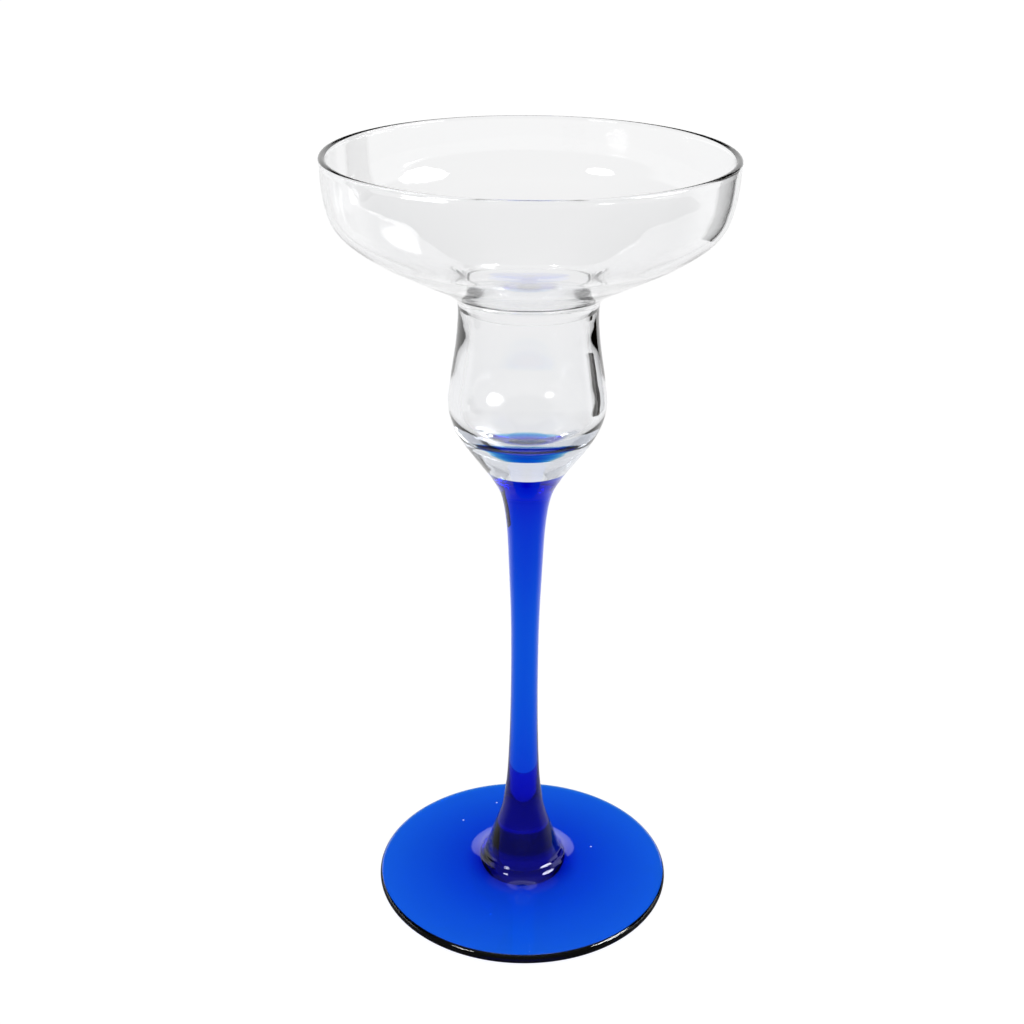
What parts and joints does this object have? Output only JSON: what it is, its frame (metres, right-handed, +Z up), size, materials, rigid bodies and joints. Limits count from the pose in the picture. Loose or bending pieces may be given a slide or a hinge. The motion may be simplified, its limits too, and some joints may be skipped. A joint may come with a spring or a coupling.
{
  "type": "glass candlestick",
  "caption": "Tall stemmed glass candlestick: clear wide drip bowl over a clear bulb-shaped candle cup, on a cobalt-blue drawn stem and round foot.",
  "frame": {"origin": "centre of the ring that the foot stands on", "axes": "+Z up the axis of the stem, from the foot to the lip of the bowl; X and Y are any two square directions, because the part is a body of revolution"},
  "size_m": [0.0974, 0.0974, 0.2022],
  "materials": {
    "cobalt_foot": "transparent cobalt-blue glass, fire-polished and glossy",
    "cobalt_stem": "transparent cobalt-blue glass, fire-polished and glossy",
    "clear_cup": "clear colourless glass, fire-polished and glossy",
    "clear_bowl": "clear colourless glass, fire-polished and glossy"
  },
  "bodies": {
    "root": {"foot": "cobalt_foot", "stem": "cobalt_stem", "candle_cup": "clear_cup", "drip_bowl": "clear_bowl"}
  },
  "joints": []
}
